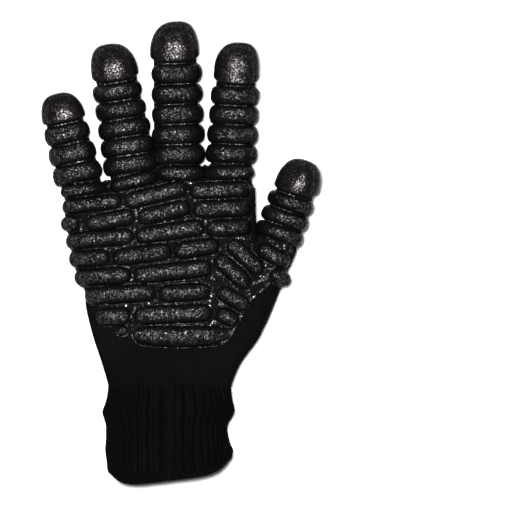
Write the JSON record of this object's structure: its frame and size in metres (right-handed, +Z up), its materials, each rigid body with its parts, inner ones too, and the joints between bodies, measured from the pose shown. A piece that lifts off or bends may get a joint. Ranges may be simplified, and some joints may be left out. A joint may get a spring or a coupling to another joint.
{
  "type": "anti vibration glove",
  "caption": "Knitted work glove for the right hand, palm up, with moulded rubber ribs on the fingers, rubber caps on the tips and raised rubber pads over the palm.",
  "frame": {"origin": "under the middle of the glove's box, on the surface that its back lies on", "axes": "+Z up out of the palm, +Y towards the fingertips, +X towards the thumb"},
  "size_m": [0.157, 0.264, 0.0319],
  "materials": {
    "hand_knit": "plain-knitted black yarn, matt",
    "cuff_knit": "ribbed elastic knit, matt black",
    "hem_knit": "overlocked hem, matt black",
    "rubber_skin": "thin crinkled rubber coating, slightly glossy",
    "moulded_rubber": "moulded rubber with a fine glinting grain"
  },
  "bodies": {
    "root": {"knit_hand": "hand_knit", "little_stall": "hand_knit", "ring_stall": "hand_knit", "middle_stall": "hand_knit", "index_stall": "hand_knit", "thumb_stall": "hand_knit", "rib_cuff": "cuff_knit", "cuff_hem": "hem_knit", "little_sleeve": "moulded_rubber", "little_cap": "moulded_rubber", "ring_sleeve": "moulded_rubber", "ring_cap": "moulded_rubber", "middle_sleeve": "moulded_rubber", "middle_cap": "moulded_rubber", "index_sleeve": "moulded_rubber", "index_cap": "moulded_rubber", "thumb_sleeve": "moulded_rubber", "thumb_cap": "moulded_rubber", "palm_skin": "rubber_skin", "palm_pad_0_1": "moulded_rubber", "palm_pad_0_2": "moulded_rubber", "palm_pad_0_3": "moulded_rubber", "palm_pad_0_4": "moulded_rubber", "palm_pad_1_1": "moulded_rubber", "palm_pad_1_2": "moulded_rubber", "palm_pad_1_3": "moulded_rubber", "palm_pad_2_1": "moulded_rubber", "palm_pad_2_2": "moulded_rubber", "palm_pad_2_3": "moulded_rubber", "palm_pad_2_4": "moulded_rubber", "palm_pad_3_1": "moulded_rubber", "palm_pad_3_2": "moulded_rubber", "palm_pad_3_3": "moulded_rubber", "palm_pad_4_1": "moulded_rubber", "palm_pad_4_2": "moulded_rubber", "palm_pad_4_3": "moulded_rubber", "palm_pad_5_1": "moulded_rubber", "palm_pad_5_2": "moulded_rubber", "palm_pad_6_1": "moulded_rubber", "palm_pad_6_2": "moulded_rubber", "palm_pad_7_1": "moulded_rubber", "palm_pad_7_2": "moulded_rubber", "palm_pad_8_1": "moulded_rubber", "palm_pad_8_2": "moulded_rubber", "thumb_pad_1": "moulded_rubber", "thumb_pad_2": "moulded_rubber", "thumb_pad_3": "moulded_rubber", "thumb_pad_4": "moulded_rubber", "thumb_pad_5": "moulded_rubber", "thumb_pad_6": "moulded_rubber"}
  },
  "joints": []
}
